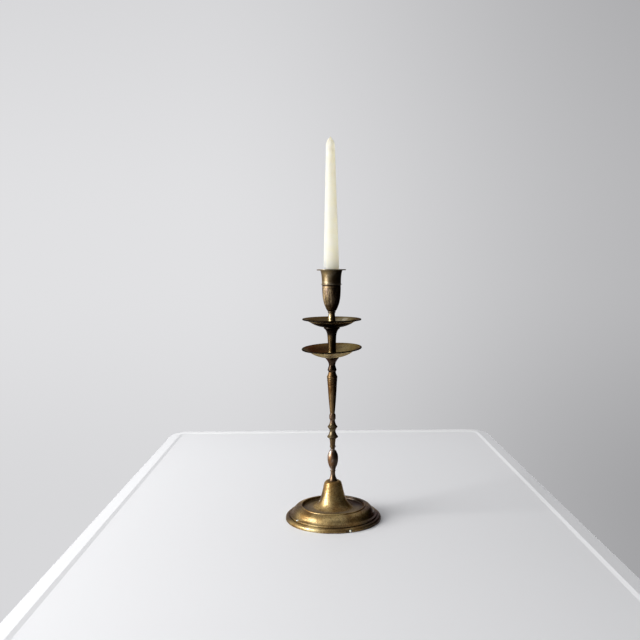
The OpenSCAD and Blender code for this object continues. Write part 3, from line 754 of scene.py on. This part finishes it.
back, front, thickness = [tableLook[side] * mm for side in ("back", "front", "thickness")]
outerDrop = (tableLook["rimRise"] - tableLook["rimStep"]) * mm
tableMiddle = (tableLook["middle"] * mm, (back + front) / 2, -thickness / 2 - outerDrop)
bpy.ops.mesh.primitive_cube_add(size=1, location=tableMiddle)
table = bpy.context.object
table.name = "tableTop"
table.scale = (tableLook["width"] * mm, back - front, thickness)
bpy.ops.object.transform_apply(location=True, rotation=False, scale=True)
bpy.ops.object.mode_set(mode="EDIT")
bpy.ops.mesh.select_mode(type="EDGE")
bpy.ops.mesh.select_all(action="DESELECT")
bpy.ops.object.mode_set(mode="OBJECT")
for edge in table.data.edges:     # the four upright ones
    ends = [table.data.vertices[v].co for v in edge.vertices]
    edge.select = abs(ends[0].z - ends[1].z) > 1 * mm
bpy.ops.object.mode_set(mode="EDIT")
bpy.ops.mesh.bevel(offset=tableLook["corner"] * mm, segments=tableLook["cornerSegments"])
bpy.ops.mesh.select_mode(type="FACE")
bpy.ops.mesh.select_all(action="DESELECT")
bpy.ops.object.mode_set(mode="OBJECT")
for face in table.data.polygons:
    face.select = face.normal.z > 0.9
bpy.ops.object.mode_set(mode="EDIT")
bpy.ops.mesh.inset(thickness=tableLook["rimOutside"] * mm, depth=tableLook["rimRise"] * mm)
bpy.ops.mesh.inset(thickness=tableLook["rimInside"] * mm, depth=-tableLook["rimStep"] * mm)
bpy.ops.object.mode_set(mode="OBJECT")

# Matt paint, whiter towards the back as painted light, and white on the back edge
tablePaint, tree = newMaterial("paleTablePaint")
coords = addNode(tree, "ShaderNodeTexCoord").outputs["Object"]
depth = addNode(tree, "ShaderNodeSeparateXYZ", {}, {0: coords}).outputs["Y"]
paintedLightTowardsBack, onEdge = [
    addNode(tree, "ShaderNodeMapRange", {
        **smooth, **dict(zip(fadeInputs, limits)),
    }, {"Value": depth}).outputs["Result"]
    for limits in ([y * mm for y in tableLook["paintedLightFade"]], [back - y * mm for y in tableLook["edgeFade"]])
]
colour = addNode(tree, "ShaderNodeMix", {
    "data_type": "RGBA", 6: linear(tableLook["frontTone"]), 7: linear(tableLook["paintedLightBackTone"]),
}, {0: paintedLightTowardsBack}).outputs[2]
colour = addNode(tree, "ShaderNodeMix", {
    "data_type": "RGBA", 7: linear(tableLook["edgeTone"]),
}, {0: onEdge, 6: colour}).outputs[2]
shader = addNode(tree, "ShaderNodeBsdfPrincipled", {
    "Roughness": tableLook["roughness"],
}, {"Base Color": colour})
addNode(tree, "ShaderNodeOutputMaterial", {}, {"Surface": shader.outputs[0]})
table.data.materials.append(tablePaint)


# Cards in metres and degrees; a card's glow runs evenly from its left end to its right end, as its own X does
cards = {
    "cardLeft": {"centre": (-1.9, 1.65, 0.6), "size": (3.2, 3.4), "turn": (90, 0, 90), "glow": (0.85, 0.6)},
    "cardFrontLeft": {"centre": (-1.3, -2, 0.6), "size": (2, 2.8), "turn": (90, 0, 0), "glow": (0.45, 0.05)},
    "cardFrontRight": {"centre": (0.8, -2, 0.6), "size": (2.2, 2.8), "turn": (90, 0, 0), "glow": (0.015, 0.01)},
    "cardRight": {"centre": (1, 0.05, 0.1), "size": (4.1, 1.8), "turn": (90, 0, 90), "glow": (0.01, 0.01)},
    "cardTop": {"centre": (-0.2, 0, 2), "size": (2.8, 3.6), "turn": (0, 0, 0), "glow": (0.64, 0.38)},
    "cardFloor": {"centre": (-0.2, 0, -0.8), "size": (2.8, 3.6), "turn": (0, 0, 0), "glow": (0.3, 0.02)},
}
cardColour = "#fbfcff"


def cardPaper(name, glow):
    material, tree = newMaterial(name)
    coords = addNode(tree, "ShaderNodeTexCoord").outputs["Object"]
    across = addNode(tree, "ShaderNodeSeparateXYZ", {}, {0: coords}).outputs["X"]
    strength = addNode(tree, "ShaderNodeMapRange", {
        "From Min": -0.5, "From Max": 0.5, "To Min": glow[0], "To Max": glow[1],
    }, {"Value": across}).outputs["Result"]
    shader = addNode(tree, "ShaderNodeEmission", {"Color": linear(cardColour)}, {"Strength": strength})
    addNode(tree, "ShaderNodeOutputMaterial", {}, {"Surface": shader.outputs[0]})
    return material


for name, look in cards.items():
    turn = [math.radians(a) for a in look["turn"]]
    bpy.ops.mesh.primitive_plane_add(size=1, location=look["centre"], rotation=turn)
    card = bpy.context.object
    card.name = name
    card.scale = (*look["size"], 1)
    card.data.materials.append(cardPaper(name + "Paper", look["glow"]))
    card.visible_camera = False

windowLook = {
    "width": 1.12, "height": 1.54, "place": (-1.99, -0.69, 0.86),     # metres
    "turn": 19,                                                       # degrees, so that it faces the stem
    "watts": 80,
}

windowData = bpy.data.lights.new("window", "AREA")
windowData.shape = "RECTANGLE"
windowData.size = windowLook["width"]
windowData.size_y = windowLook["height"]
windowData.energy = windowLook["watts"]
window = bpy.data.objects.new("window", windowData)
bpy.context.scene.collection.objects.link(window)
window.matrix_world = (
    Matrix.Translation(windowLook["place"])
    @ Matrix.Rotation(math.radians(windowLook["turn"]), 4, "Z")
    @ Matrix.Rotation(math.radians(-90), 4, "Y")
    @ Matrix.Rotation(math.radians(90), 4, "Z")
)

roomLook = {
    # the wall's tones at its left and right, above, level with and below the eye
    "above": ("#d3d3d5", "#a2a2a4"), "level": ("#e1e1e3", "#b4b4b6"), "below": ("#d8d8da", "#9d9d9f"),
    # where they change, as parts of a direction of length 1
    "leftToRight": (-0.18, 0.5), "levelToAbove": (0.05, 0.5), "belowToLevel": (-0.3, 0),
}

world = bpy.data.worlds.new("paleRoom")
bpy.context.scene.world = world
world.use_nodes = True
tree = world.node_tree
tree.nodes.clear()
direction = addNode(tree, "ShaderNodeTexCoord").outputs["Generated"]
parts = addNode(tree, "ShaderNodeSeparateXYZ", {}, {0: direction}).outputs
toRight, toAbove, toLevel = [
    addNode(tree, "ShaderNodeMapRange", {
        **smooth, **dict(zip(fadeInputs, roomLook[change])),
    }, {"Value": parts[axis]}).outputs["Result"]
    for change, axis in (("leftToRight", "X"), ("levelToAbove", "Z"), ("belowToLevel", "Z"))
]
above, level, below = [
    addNode(tree, "ShaderNodeMix", {
        "data_type": "RGBA", 6: linear(roomLook[part][0]), 7: linear(roomLook[part][1]),
    }, {0: toRight}).outputs[2]
    for part in ("above", "level", "below")
]
wall = addNode(tree, "ShaderNodeMix", {"data_type": "RGBA"}, {0: toAbove, 6: level, 7: above}).outputs[2]
wall = addNode(tree, "ShaderNodeMix", {"data_type": "RGBA"}, {0: toLevel, 6: below, 7: wall}).outputs[2]
background = addNode(tree, "ShaderNodeBackground", {"Strength": 1.0}, {"Color": wall})
addNode(tree, "ShaderNodeOutputWorld", {}, {"Surface": background.outputs[0]})
bpy.context.scene.view_settings.view_transform = "Standard"
print("stage set")
